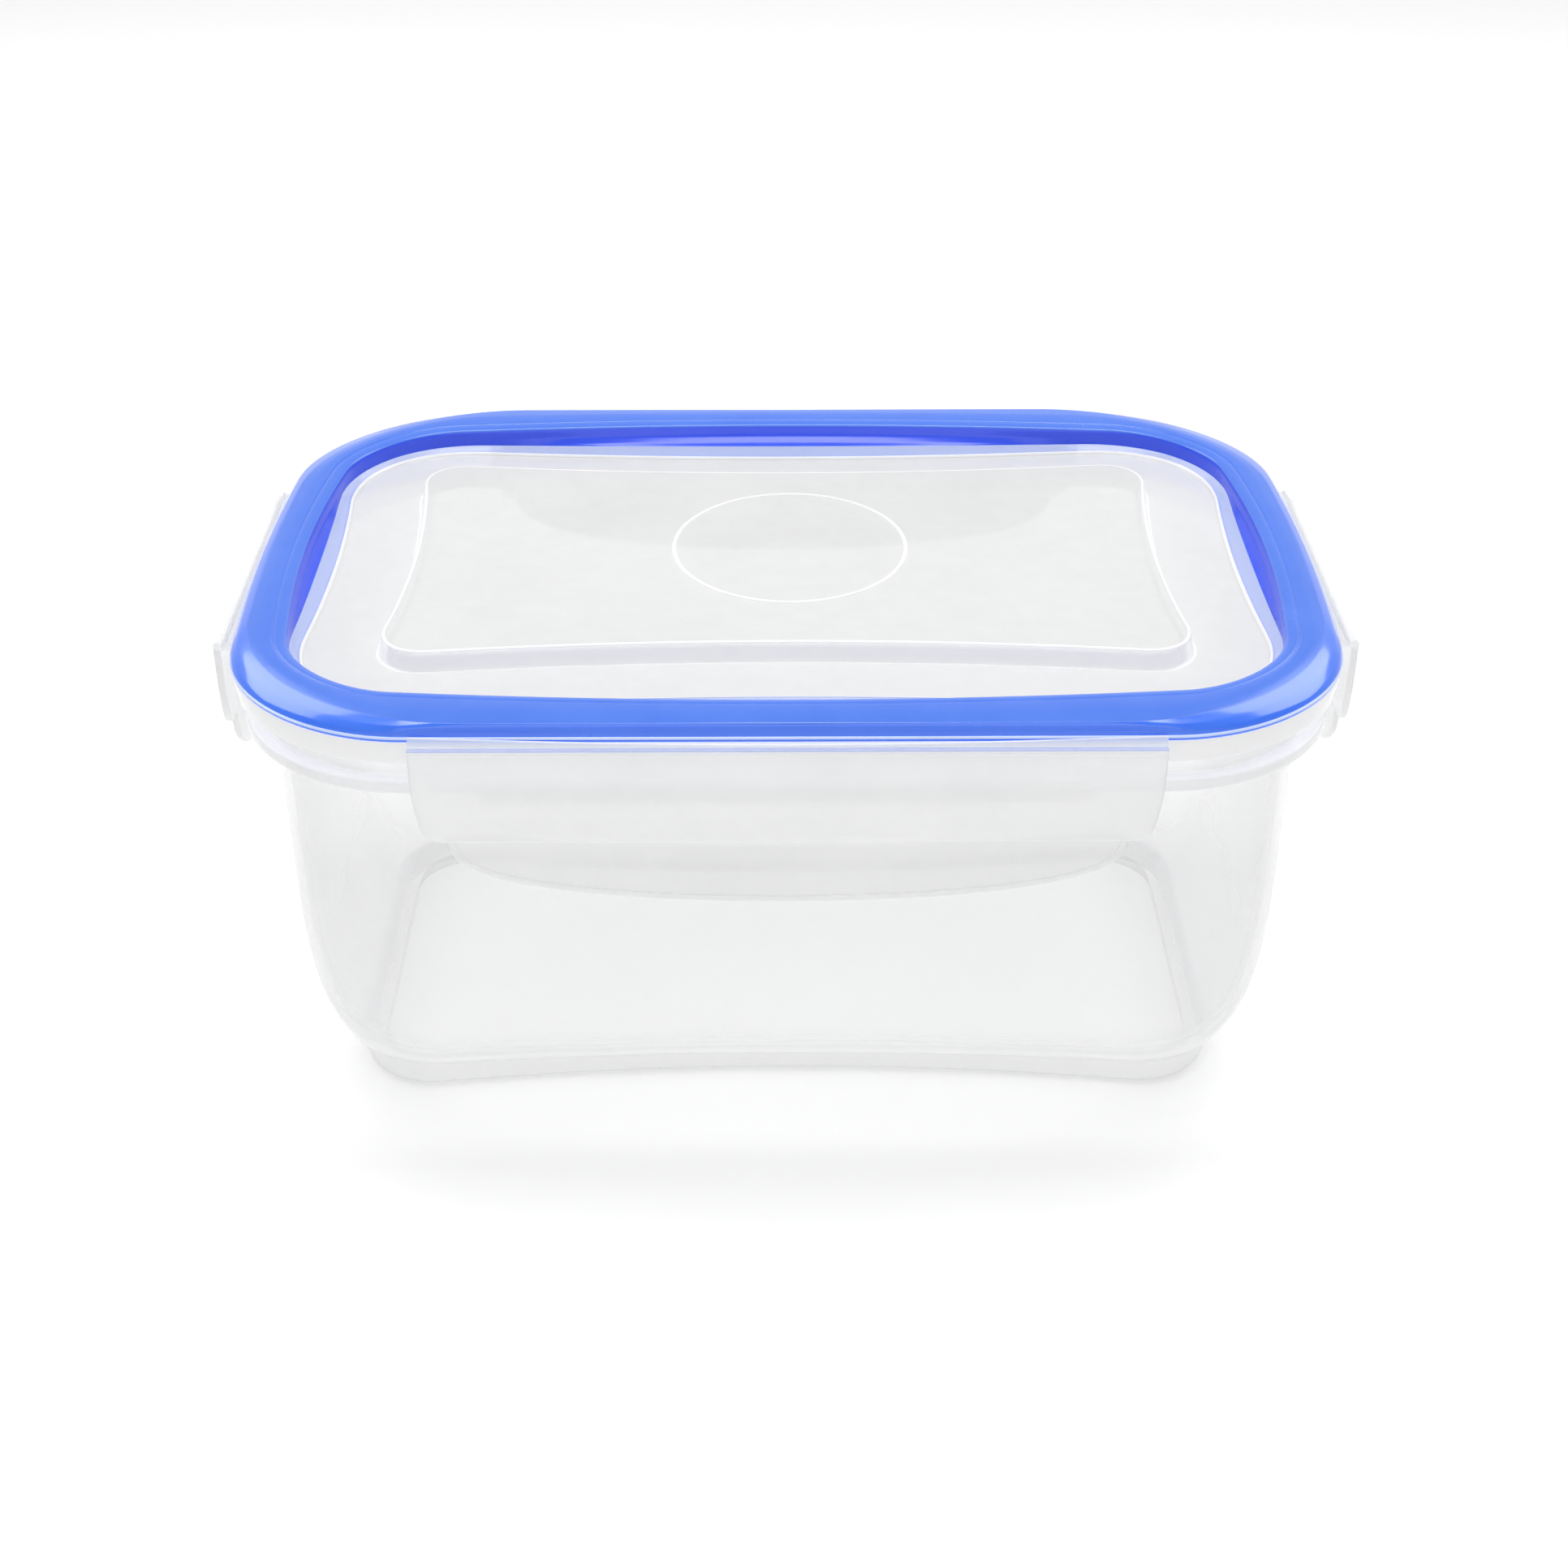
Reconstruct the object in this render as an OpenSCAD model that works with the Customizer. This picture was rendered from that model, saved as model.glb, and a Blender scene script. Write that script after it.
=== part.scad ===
// Snap lid food container: a clear tub, and a clear lid with a soft edge band, a seal ring and four hinged latch flaps.
// Millimetres. +Z up, +X along the long side. The origin is on the surface it stands on, under its middle.

/* [Overall] */
// Length between the two short-side hinge lines
hinge_len = 240; // [239:0.5:241]
// Width between the two long-side hinge lines
hinge_wid = 163.2; // [162.8:0.1:163.8]
// Height of the hinge lines above the table
hinge_z = 108; // [100:1:120]

/* [Tub] */
// Half length of the tub wall under its rim, at the corners
wall_a = 105.6; // [105:0.1:105.8]
// Half width of the tub wall under its rim
wall_b = 72.4; // [71.4:0.1:72.6]
// Corner radius of the tub wall under its rim
wall_r = 34.5; // [32:0.1:36]
// Half length of the foot
foot_a = 98.4; // [97.8:0.1:99]
// Half width of the foot at its corners
foot_b = 51; // [50.6:0.1:52]
// Corner radius of the foot
foot_r = 20.5; // [18:0.5:22]
// How far the foot's long sides pull in, as a share of its half width
foot_pinch = 0.163; // [0.14:0.001:0.17]
// Height of the foot
foot_h = 6.3; // [5.8:0.1:6.4]
// Wall thickness
wall_t = 1.6; // [1.2:0.1:2]
// Floor thickness
floor_t = 1.9; // [1.5:0.1:2.4]
// How sharply the wall turns in at the bottom
wall_curve = 6.5; // [5:0.1:7]

/* [Rim] */
// Top of the tub's rim, measured from the hinge lines
rim_top = 0.4; // [0:0.1:0.5]
// Thickness of the rim wall
rim_t = 2.0; // [1.6:0.1:2.2]
// Upper face of the catch lip, measured from the hinge lines
lip_top = -9.2; // [-9.6:0.1:-8.8]
// Lower face of the catch lip, measured from the hinge lines
lip_bot = -12; // [-12.1:0.1:-11.5]

/* [Lid] */
// Height of the raised middle of the lid, measured from the hinge lines
plateau_h = 3.9; // [3.5:0.1:4.2]
// Height of the sunken tray around it, measured from the hinge lines
tray_h = -0.5; // [-0.8:0.1:0]
// Thickness of the lid's panel
panel_t = 1.3; // [1.1:0.1:1.5]
// Half length of the oval ring on the lid
oval_a = 26.4; // [20:0.1:30]
// Half width of the oval ring on the lid
oval_b = 28; // [18:0.1:30]

/* [Latches] */
// Half length of a long-side latch
latch_long = 74.4; // [72:0.1:75]
// Half length of a short-side latch
latch_short = 37.4; // [35:0.1:38]
// Depth of a latch flap below its hinge line
flap_h = 20.3; // [20:0.1:21.5]
// Depth of the finger tongue below its hinge line
tongue_h = 35; // [33:0.1:36]
// Thickness of a latch flap
flap_t = 1.6; // [1.4:0.1:1.7]
// Radius of the rounded hinge bead
bead_r = 0.9; // [0.8:0.05:0.95]
// How far the hook reaches inwards from the hinge line
hook_in = 6.3; // [6:0.1:6.5]

/* [Hidden] */
hz = hinge_z;
hy = hinge_wid / 2;
hx = hinge_len / 2;
clear_col = [0.92, 0.93, 0.94];
band_col = [0.28, 0.45, 0.95];
corner_n = 10; // steps round a corner
long_n = 6;    // steps along a long side
short_n = 4;   // steps along a short side
loop_n = 4 * corner_n + 2 * (long_n + short_n);
fit_gap = 0.04; // between the soft band and the clear lid under it

// ---- outlines ----
// An outline is [half length, half width, corner radius, end pinch, side pinch]. A positive pinch pulls the middle of the sides in, a negative one bows them out.
o_ring  = [112.2, 79.0, 36.5, -0.046, -0.004];   // outer edge of the band and of the lid's skirt
o_top   = [100.6, 63.2, 21.3, -0.0642, -0.0883]; // inner top edge of the band
o_ledge = [106.0, 66.3, 32.5, 0.0205, 0.032];    // foot of the band's inner wall
o_tray  = [106.0, 66.5, 33.0, 0.052, 0.105];     // edge of the sunken tray
o_plat  = [86.5, 48.3, 12.4, 0.0479, 0.1157];    // raised middle of the lid
o_wall  = [wall_a, wall_b, wall_r, -0.045, 0];   // outside of the tub wall under its rim
o_foot  = [foot_a, foot_b, foot_r, 0, foot_pinch];
o_floor = [94.8, 48.6, 15.9, 0, foot_pinch];         // edge of the tub's inside floor

function arc(cx, cy, r, a0) = [for (i = [0:corner_n]) [cx + r * cos(a0 + 90 * i / corner_n), cy + r * sin(a0 + 90 * i / corner_n)]];
function between(p, q, n) = [for (i = [1:n - 1]) p + (q - p) * i / n];
function bent(p, o) = [p.x * (1 - o[3] * (1 - pow(p.y / o[1], 2))), p.y * (1 - o[4] * (1 - pow(p.x / o[0], 2)))];
function outline(o) =
    let (a = o[0], b = o[1], r = o[2], u = a - r, v = b - r)
    [for (p = concat(
        arc(u, v, r, 0), between([u, b], [-u, b], long_n),
        arc(-u, v, r, 90), between([-a, v], [-a, -v], short_n),
        arc(-u, -v, r, 180), between([-u, -b], [u, -b], long_n),
        arc(u, -v, r, 270), between([a, -v], [a, v], short_n))) bent(p, o)];
// The same outline made larger by d all round
function grown(o, d) = [o[0] + d, o[1] + d, o[2] + d, o[3], o[4]];
function out(o, d = 0) = outline(grown(o, d));
// A loop part of the way from one loop to another
function mix(p, q, t) = [for (i = [0:loop_n - 1]) p[i] * (1 - t) + q[i] * t];
function at(p, z) = [for (q = p) [q.x, q.y, z]];

// ---- solids from stacked loops ----
function side_faces(n, i, k) = [for (j = [0:n - 1]) let (m = (j + 1) % n, p = i * n, q = k * n) each [[p + j, q + j, q + m], [p + j, q + m, p + m]]];
// A closed skin: it starts at the middle of the underside, runs out, up and back in to the middle of the top.
module skin(loops) {
    n = len(loops[0]);
    k = len(loops);
    lo = k * n;
    pts = concat([for (l = loops) each l], [[0, 0, loops[0][0].z], [0, 0, loops[k - 1][0].z]]);
    polyhedron(pts, concat(
        [for (j = [0:n - 1]) [lo, j, (j + 1) % n]],
        [for (i = [0:k - 2]) each side_faces(n, i, i + 1)],
        [for (j = [0:n - 1]) [lo + 1, (k - 1) * n + (j + 1) % n, (k - 1) * n + j]]));
}
// A closed ring: the last loop joins back to the first.
module hoop(loops) {
    n = len(loops[0]);
    k = len(loops);
    polyhedron([for (l = loops) each l], [for (i = [0:k - 1]) each side_faces(n, i, (i + 1) % k)]);
}

// ---- tub ----
wall_top = hz + lip_bot;
wall_bot = foot_h + 0.2;
// Share of the way from the foot's outline to the wall's top outline, s from 0 at the top to 1 at the bottom
function wall_share(s) = (1 - pow(s, wall_curve)) * (1 - 0.073 * s);
o_wall_in = grown(o_wall, -wall_t);
function wall_out(s) = at(mix(out(o_foot, 0.9), out(o_wall), wall_share(s)), wall_top - s * (wall_top - wall_bot));
floor_z = foot_h - 0.1;
function wall_in(s) = at(mix(out(o_floor), out(o_wall_in), wall_share(s)), wall_top - s * (wall_top - floor_z));
steps = [1, 0.98, 0.955, 0.925, 0.89, 0.85, 0.8, 0.74, 0.67, 0.58, 0.46, 0.32, 0.16, 0];
down = [for (i = [len(steps) - 1:-1:1]) steps[i]];
o_rim = grown(o_ring, -4.9);      // outside of the rim wall
o_lip = [110.2, 77, 33, -0.046, -0.004]; // catch lip
module tub() {
    color(clear_col) skin(concat(
        [at(out(o_foot, -5.2), floor_z - floor_t),
         at(out(o_foot, -4.4), 0.5),
         at(out(o_foot, -4.0), 0),
         at(out(o_foot, -0.9), 0),
         at(out(o_foot, -0.2), 0.6),
         at(out(o_foot), 1.6),
         at(out(o_foot), foot_h)],
        [for (s = steps) wall_out(s)],
        [at(out(o_lip, -0.6), hz + lip_bot),
         at(out(o_lip), hz + lip_bot + 0.6),
         at(out(o_lip), hz + lip_top - 0.5),
         at(out(o_lip, -0.5), hz + lip_top),
         at(out(o_rim, 0.9), hz + lip_top + 1.2),
         at(out(o_rim, 0.2), hz + lip_top + 3.6),
         at(out(o_rim), hz + rim_top - 0.6),
         at(out(o_rim, -0.5), hz + rim_top),
         at(out(o_rim, 0.5 - rim_t), hz + rim_top),
         at(out(o_rim, -rim_t), hz + rim_top - 0.6),
         at(out(o_rim, -rim_t - 0.2), hz + lip_top - 0.2),
         at(out(o_rim, -rim_t - 1.0), hz + lip_top - 0.9)],
        [for (s = down) wall_in(s == 0 ? 0.004 : s)],
        [at(out(o_floor), floor_z)]));
}

// ---- lid ----
tab_gap = 1.1; // from the hinge line to the edge of the lid's tab
module tab_side(len2, reach) {
    // the lip of the lid that a latch hangs from, drawn for the front: its outer edge is tab_gap short of the hinge line
    translate([-len2, 0, 0]) rotate([90, 0, 90]) linear_extrude(height = 2 * len2)
        polygon([[tab_gap, -0.8], [tab_gap, 0.75], [tab_gap + 0.4, 0.9], [reach, 0.98], [reach, -0.8]]);
}
module lid_panel() {
    t = panel_t;
    color(clear_col) union() {
        skin([
            // underside, from the middle outwards
            at(out(o_plat, -1.9), hz + plateau_h - t),
            at(out(o_plat, -1.2), hz + plateau_h - t - 0.7),
            at(out(o_plat, -0.5), hz + tray_h - t + 0.7),
            at(out(o_plat, 0.2), hz + tray_h - t),
            at(out(o_tray, -0.2), hz + tray_h - t),
            at(mix(out(o_tray), out(o_ledge), 0.9), hz + tray_h - t + 0.6),
            // inner face of the plug wall, its foot, and its outer face
            at(out(o_top, 0.2), hz - 1.3),
            at(out(o_top, 0.0), hz - 4.6),
            at(out(o_top, 0.4), hz - 5.0),
            at(out(o_top, 1.0), hz - 4.8),
            at(out(o_top, 1.5), hz - 3.6),
            at(out(o_top, 2.2), hz + 2.5),
            // roof of the seal channel, and inside and foot of the skirt
            at(out(o_ring, -3.1), hz + 2.5),
            at(out(o_ring, -2.2), hz + 0.9),
            at(out(o_ring, -1.7), hz - 4.1),
            at(out(o_ring, -0.5), hz - 4.1),
            at(out(o_ring, -0.1), hz + 0.0),
            at(out(o_ring), hz + 0.98),
            // shoulder under the soft band
            at(out(o_ring, -1.4), hz + 0.98),
            at(out(o_ring, -1.8), hz + 3.1),
            at(out(o_ring, -2.5), hz + 3.7),
            at(out(o_top, 2.0), hz + 3.7),
            at(out(o_top, 1.3), hz + 3.2),
            at(out(o_top, 1.0), hz + 1.0),
            // tray edge, tray and raised middle
            at(out(o_ledge, 0.1), hz + 1.0),
            at(mix(out(o_tray), out(o_ledge), 0.3), hz + tray_h + 0.25),
            at(out(o_tray, -0.6), hz + tray_h),
            at(out(o_plat, 1.0), hz + tray_h),
            at(out(o_plat, 0.5), hz + tray_h + 0.6),
            at(out(o_plat, 0.1), hz + plateau_h - 0.8),
            at(out(o_plat, -0.8), hz + plateau_h)]);
        for (s = [0, 180]) {
            rotate([0, 0, s]) translate([0, -hy, hz]) tab_side(latch_long, 3.3);
            rotate([0, 0, 90 + s]) translate([0, -hx, hz]) tab_side(latch_short, 4.0);
        }
        // blank oval ring
        translate([1, 2.5, hz + plateau_h - 0.4]) linear_extrude(height = 0.75) difference() {
            polygon([for (i = [0:71]) [oval_a * cos(5 * i), oval_b * sin(5 * i)]]);
            polygon([for (i = [0:71]) [(oval_a - 0.9) * cos(5 * i), (oval_b - 0.9) * sin(5 * i)]]);
        }
    }
}

// ---- soft band ----
module rim_band() {
    g = fit_gap;
    inner = out(o_top);
    outer = out(o_ring);
    color(band_col) hoop([
        at(out(o_ring, g - 1.4), hz + 1.0 + g),
        at(outer, hz + 1.0 + g),
        at(out(o_ring, 0.1), hz + 1.6),
        at(mix(inner, outer, 0.97), hz + 2.9),
        at(mix(inner, outer, 0.88), hz + 4.1),
        at(mix(inner, outer, 0.7), hz + 4.95),
        at(mix(inner, outer, 0.42), hz + 5.3),
        at(mix(inner, outer, 0.14), hz + 5.2),
        at(inner, hz + 4.8),
        at(out(o_top, -0.3), hz + 4.3),
        at(mix(out(o_ledge, 0.2), out(o_top, -0.3), 0.75), hz + 2.6),
        at(mix(out(o_ledge, 0.2), out(o_top, -0.3), 0.3), hz + 1.5),
        at(out(o_ledge, 0.1 + g), hz + 1.0 + g),
        at(out(o_top, 1.0 - g), hz + 1.0 + g),
        at(out(o_top, 1.3 - g), hz + 3.2 + g),
        at(out(o_top, 2.0), hz + 3.7 + g),
        at(out(o_ring, -2.5), hz + 3.7 + g),
        at(out(o_ring, g - 1.8), hz + 3.1 + g)]);
}

// ---- seal ----
module seal_gasket() {
    color("whitesmoke") hoop([
        at(out(o_rim, -rim_t - 0.1), hz + 0.9),
        at(out(o_rim, -rim_t + 0.5), hz + 0.7),
        at(out(o_rim, -0.5), hz + 0.7),
        at(out(o_rim, 0.3), hz + 0.9),
        at(out(o_rim, 0.4), hz + 2.46),
        at(out(o_rim, -rim_t - 0.2), hz + 2.46)]);
}

// ---- latches ----
// Drawn for the front: x along the hinge, y outwards is negative, z down from the hinge line.
function flap_half(l) = [[l, 0], [l, -8.6], [l - 0.5, -12.9], [l - 1.3, -16.7], [l - 2.1, -18.9], [l - 2.9, -flap_h + 0.4], [l - 3.9, -flap_h + 0.1], [l - 5.4, -flap_h]];
function tongue_half(l) = [for (i = [0:14]) let (q = sin(90 * (14 - i) / 14)) [l * q, -flap_h + 1 - (tongue_h - flap_h + 1) * pow(max(0, 1 - q * q), 0.35)]];
function both(p) = concat(p, [for (i = [len(p) - 1:-1:0]) [-p[i].x, p[i].y]]);
// stands a drawing in x and z up, from y0 to y1
module plate(y0, y1) { translate([0, y1, 0]) rotate([90, 0, 0]) linear_extrude(height = y1 - y0) children(); }
module latch(l) {
    color(clear_col) union() {
        // rounded bead on the hinge line
        translate([-l, 0, 0]) rotate([0, 90, 0]) cylinder(r = bead_r, h = 2 * l, $fn = 32);
        // flap
        plate(-bead_r, flap_t - bead_r) polygon(both(flap_half(l)));
        // finger tongue, thinner and set back
        plate(-0.1, 1.0) polygon(both(tongue_half(l - 6.2)));
        // hook under the tub's lip
        translate([-(l - 13), 0, 0]) rotate([90, 0, 90]) linear_extrude(height = 2 * (l - 13))
            polygon([[0, -16.0], [0, -11.5], [1.2, -12.25], [hook_in - 0.4, -12.25], [hook_in, -12.7], [hook_in - 0.3, -13.8], [1.4, -14.8]]);
    }
}
module front_latch() { translate([0, -hy, hz]) latch(latch_long); }
module back_latch() { rotate([0, 0, 180]) translate([0, -hy, hz]) latch(latch_long); }
module left_latch() { rotate([0, 0, -90]) translate([0, -hx, hz]) latch(latch_short); }
module right_latch() { rotate([0, 0, 90]) translate([0, -hx, hz]) latch(latch_short); }

tub();
lid_panel();
rim_band();
seal_gasket();
front_latch();
back_latch();
left_latch();
right_latch();
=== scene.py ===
import math
import bmesh
import bpy
import numpy as np
from mathutils import Matrix, Vector


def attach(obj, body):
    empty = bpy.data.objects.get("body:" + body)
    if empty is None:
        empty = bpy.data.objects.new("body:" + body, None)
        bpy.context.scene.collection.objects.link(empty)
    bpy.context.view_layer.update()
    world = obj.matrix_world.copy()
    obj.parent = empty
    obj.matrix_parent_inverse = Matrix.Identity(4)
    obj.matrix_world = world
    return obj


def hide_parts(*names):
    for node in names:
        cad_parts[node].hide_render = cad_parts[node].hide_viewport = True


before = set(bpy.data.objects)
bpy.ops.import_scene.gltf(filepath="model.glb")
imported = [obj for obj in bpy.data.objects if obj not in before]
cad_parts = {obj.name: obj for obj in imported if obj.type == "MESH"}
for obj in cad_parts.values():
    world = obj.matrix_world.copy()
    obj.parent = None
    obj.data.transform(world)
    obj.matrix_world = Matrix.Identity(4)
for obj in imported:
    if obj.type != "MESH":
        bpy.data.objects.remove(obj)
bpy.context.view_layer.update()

MM = 0.001

# ------------------------------------------------------------------ sizes (mm), the same as the construction's
HZ = 108.0                      # height of the hinge lines
HY, HX = 81.6, 120.0            # the hinge lines' distance from the middle
CORNER, LONG, SHORT = 26, 30, 20
N = 4 * CORNER + 2 * (LONG + SHORT)

O_RING = (112.2, 79.0, 36.5, -0.046, -0.004)
O_TOP = (100.6, 63.2, 21.3, -0.0642, -0.0883)
O_SHOULDER = (109.2, 78.2, 45.0, -0.046, -0.004)
O_LEDGE = (106.0, 66.3, 32.5, 0.0205, 0.032)
O_TRAY = (106.0, 66.5, 33.0, 0.052, 0.105)
O_PLAT = (86.5, 48.3, 12.4, 0.0479, 0.1157)
O_WALL = (105.6, 72.4, 34.5, -0.045, 0.0)
O_FOOT = (98.4, 51.0, 20.5, 0.0, 0.163)
O_FLOOR = (94.8, 48.6, 15.9, 0.0, 0.163)
O_LIP = (110.2, 77.0, 33.0, -0.046, -0.004)
O_RIM = (107.3, 74.1, 31.6, -0.046, -0.004)
RIM_T, LIP_TOP, LIP_BOT, RIM_TOP = 2.0, -9.2, -12.0, 0.4
FOOT_H, FLOOR_Z, FLOOR_T, WALL_T = 6.3, 6.2, 1.9, 1.6
PLAT_H, TRAY_H, PANEL_T = 3.9, -0.5, 1.3


def outline(o, d=0.0):
    """One closed loop of N points: a rounded rectangle grown by d, whose sides then bow or pull in."""
    a, b, r = o[0] + d, o[1] + d, o[2] + d
    px, py = o[3], o[4]
    u, v = a - r, b - r
    pts = []

    def arc(cx, cy, a0):
        for i in range(CORNER + 1):
            t = math.radians(a0 + 90 * i / CORNER)
            pts.append((cx + r * math.cos(t), cy + r * math.sin(t)))

    def between(p, q, n):
        for i in range(1, n):
            pts.append((p[0] + (q[0] - p[0]) * i / n, p[1] + (q[1] - p[1]) * i / n))

    arc(u, v, 0)
    between((u, b), (-u, b), LONG)
    arc(-u, v, 90)
    between((-a, v), (-a, -v), SHORT)
    arc(-u, -v, 180)
    between((-u, -b), (u, -b), LONG)
    arc(u, -v, 270)
    between((a, -v), (a, v), SHORT)
    q = np.array(pts)
    x = q[:, 0] * (1 - px * (1 - (q[:, 1] / b) ** 2))
    y = q[:, 1] * (1 - py * (1 - (q[:, 0] / a) ** 2))
    return np.column_stack([x, y])


def mix(p, q, t):
    return p * (1 - t) + q * t


def at(p, z):
    return np.column_stack([p, np.full(len(p), float(z))])


def softened(loops, closed=False, steps=4):
    """loops is [(points, fillet) or (points, fillet, slot)]. A loop with a fillet becomes a small curve of loops that
    rounds it off. The slot is the material slot of the faces that follow it."""
    out, tags = [], []
    k = len(loops)
    for i, loop in enumerate(loops):
        p, f = loop[0], loop[1]
        tag = loop[2] if len(loop) > 2 else 0
        ends = not closed and i in (0, k - 1)
        if f <= 0 or ends:
            out.append(p)
            tags.append(tag)
            continue
        a, b = loops[(i - 1) % k][0], loops[(i + 1) % k][0]
        da = np.linalg.norm(a - p, axis=1)[:, None]
        db = np.linalg.norm(b - p, axis=1)[:, None]
        s = p + (a - p) * np.minimum(0.48, f / np.maximum(da, 1e-6))
        e = p + (b - p) * np.minimum(0.48, f / np.maximum(db, 1e-6))
        for j in range(steps + 1):
            t = j / steps
            out.append(s * (1 - t) ** 2 + p * 2 * t * (1 - t) + e * t * t)
            tags.append(tag)
    return out, tags


def new_object(name, verts_mm, faces, smooth_deg=38.0, slots=None):
    me = bpy.data.meshes.new(name)
    me.from_pydata([tuple(c * MM for c in v) for v in verts_mm], [], faces)
    me.update()
    if slots:
        me.polygons.foreach_set("material_index", slots)
    ob = bpy.data.objects.new(name, me)
    bpy.context.scene.collection.objects.link(ob)
    finish_mesh(ob, smooth_deg)
    return ob


def finish_mesh(ob, smooth_deg=38.0):
    """Outward normals, no doubled points, smooth shading broken at real corners."""
    bm = bmesh.new()
    bm.from_mesh(ob.data)
    bmesh.ops.remove_doubles(bm, verts=bm.verts, dist=1e-7)
    bmesh.ops.dissolve_degenerate(bm, edges=bm.edges, dist=1e-7)
    bmesh.ops.recalc_face_normals(bm, faces=bm.faces)
    if bm.calc_volume(signed=True) < 0:
        bmesh.ops.reverse_faces(bm, faces=bm.faces)
    lim = math.radians(smooth_deg)
    for f in bm.faces:
        f.smooth = True
    for e in bm.edges:
        e.smooth = len(e.link_faces) == 2 and e.calc_face_angle(0.0) < lim
    bm.to_mesh(ob.data)
    bm.free()
    ob.data.update()


def cap(verts, faces, base, loop, flip, rings=7):
    """Closes a loop with shrinking rings and a middle point."""
    mid = loop.mean(0)
    mid[:2] = 0
    prev = base
    for r in range(1, rings):
        t = 1 - r / rings
        start = len(verts)
        for p in loop:
            verts.append((mid[0] + (p[0] - mid[0]) * t, mid[1] + (p[1] - mid[1]) * t, p[2]))
        for j in range(N):
            m = (j + 1) % N
            q = (prev + j, prev + m, start + m, start + j)
            faces.append(q if not flip else q[::-1])
        prev = start
    c = len(verts)
    verts.append(tuple(mid))
    for j in range(N):
        q = (prev + j, prev + (j + 1) % N, c)
        faces.append(q if not flip else q[::-1])


def skin(name, loops_tags, closed=False, smooth_deg=38.0):
    loops, tags = loops_tags
    verts, faces, slots = [], [], []
    for l in loops:
        verts.extend(map(tuple, l))
    k = len(loops)
    for i in range(k if closed else k - 1):
        a, b = i * N, ((i + 1) % k) * N
        for j in range(N):
            m = (j + 1) % N
            faces.append((a + j, b + j, b + m, a + m))
            slots.append(tags[i])
    if not closed:
        cap(verts, faces, 0, loops[0], True)
        cap(verts, faces, (k - 1) * N, loops[-1], False)
        half = (len(faces) - len(slots)) // 2
        slots += [tags[0]] * half + [tags[-1]] * half
    return new_object(name, verts, faces, smooth_deg, slots)


def boolean(ob, other, op="UNION"):
    m = ob.modifiers.new("join", "BOOLEAN")
    m.operation, m.solver, m.object = op, "EXACT", other
    dg = bpy.context.evaluated_depsgraph_get()
    me = bpy.data.meshes.new_from_object(ob.evaluated_get(dg))
    ob.modifiers.clear()
    ob.data = me
    bpy.data.objects.remove(other)


# ------------------------------------------------------------------ tub
def wall_share(s):
    return (1 - s ** 6.5) * (1 - 0.073 * s)


def make_tub():
    wall_top, wall_bot = HZ + LIP_BOT, FOOT_H + 0.2
    wo, wi = outline(O_WALL), outline(O_WALL, -WALL_T)
    fo, fi = outline(O_FOOT, 0.9), outline(O_FLOOR)
    ts = [1 - (i / 44) ** 1.35 for i in range(45)]      # 1 at the foot to 0 at the rim
    L = [
        (at(outline(O_FOOT, -9.0), FLOOR_Z - FLOOR_T), 0, 3),
        (at(outline(O_FOOT, -5.2), FLOOR_Z - FLOOR_T), 0.8, 3),
        (at(outline(O_FOOT, -4.2), 0.0), 0.6, 3),
        (at(outline(O_FOOT, -2.1), 0.0), 0, 3),
        (at(outline(O_FOOT, -0.2), 0.0), 0.8, 1),
        (at(outline(O_FOOT, 0.0), 2.4), 0, 1),
        (at(outline(O_FOOT, 0.0), FOOT_H), 0.35, 1),
    ]
    for s in ts:
        L.append((at(mix(fo, wo, wall_share(s)), wall_top - s * (wall_top - wall_bot)), 0.4 if s == 1 else (0.9 if s == 0 else 0), 2 if s == 0 else 0))
    L += [
        (at(outline(O_LIP), HZ + LIP_BOT), 0.8, 2),
        (at(outline(O_LIP), HZ + LIP_TOP), 0.7, 2),
        (at(outline(O_RIM, 0.25), HZ + LIP_TOP + 0.15), 0.9, 4),
        (at(outline(O_RIM), HZ - 4.0), 0, 4),
        (at(outline(O_RIM), HZ + RIM_TOP), 0.85, 3),
        (at(outline(O_RIM, -RIM_T), HZ + RIM_TOP), 0.85, 3),
        (at(outline(O_RIM, -RIM_T - 0.2), HZ + LIP_TOP - 0.2), 0.5, 3),
        (at(outline(O_RIM, -RIM_T - 1.0), HZ + LIP_TOP - 0.9), 0.5),
    ]
    for s in reversed(ts):
        if s == 0:
            continue
        L.append((at(mix(fi, wi, wall_share(s)), wall_top - s * (wall_top - FLOOR_Z)), 0.7 if s == 1 else 0, 3 if s == 1 else 0))
    L.append((at(outline(O_FLOOR, -3.0), FLOOR_Z), 0, 3))
    return skin("tub_shell", softened(L), smooth_deg=32)


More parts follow.
